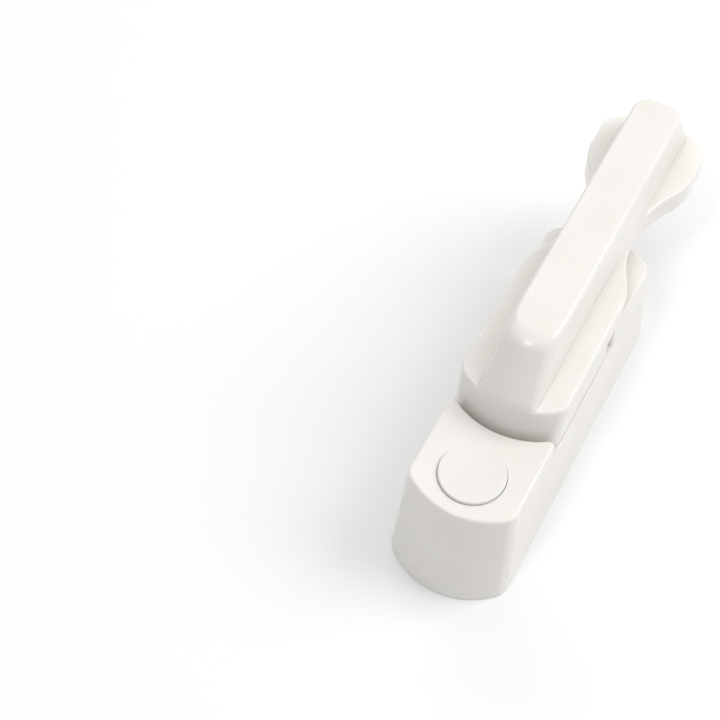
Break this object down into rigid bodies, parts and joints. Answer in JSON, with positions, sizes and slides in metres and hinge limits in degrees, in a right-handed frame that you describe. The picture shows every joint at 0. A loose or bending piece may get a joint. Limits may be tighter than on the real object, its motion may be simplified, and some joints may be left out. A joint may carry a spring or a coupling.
{
  "type": "swivelling sash blocker",
  "caption": "Screw-on swivelling blocker for a hinged plastic sash: a hollow boxy base with capped fixing points and a cranked arm that turns over the sash edge.",
  "frame": {"origin": "where the arm's swivel axis meets the mounting plane, which is the plane of the base's open rim", "axes": "+Z is out of the mounting plane along the swivel axis; +Y is along the base, towards the arm's tip when the arm is folded in line; X is across the base"},
  "size_m": [0.0214, 0.0923, 0.036],
  "materials": {
    "body_plastic": "warm white, satin moulded",
    "arm_plastic": "warm white, satin moulded",
    "cap_plastic": "warm white, satin moulded",
    "washer_zinc": "bright zinc plating with fine turning marks",
    "screw_nickel": "bright nickel plating"
  },
  "bodies": {
    "base": {"body": "body_plastic", "cap_near": "cap_plastic", "cap_far": "cap_plastic"},
    "swivel": {"arm": "arm_plastic", "washer": "washer_zinc", "screw": "screw_nickel"}
  },
  "joints": [
    {"name": "arm_swing", "type": "hinge", "parent": "base", "child": "swivel", "pos_m": [0, 0, 0.012], "axis": [0, 0, 1], "continuous": true}
  ]
}
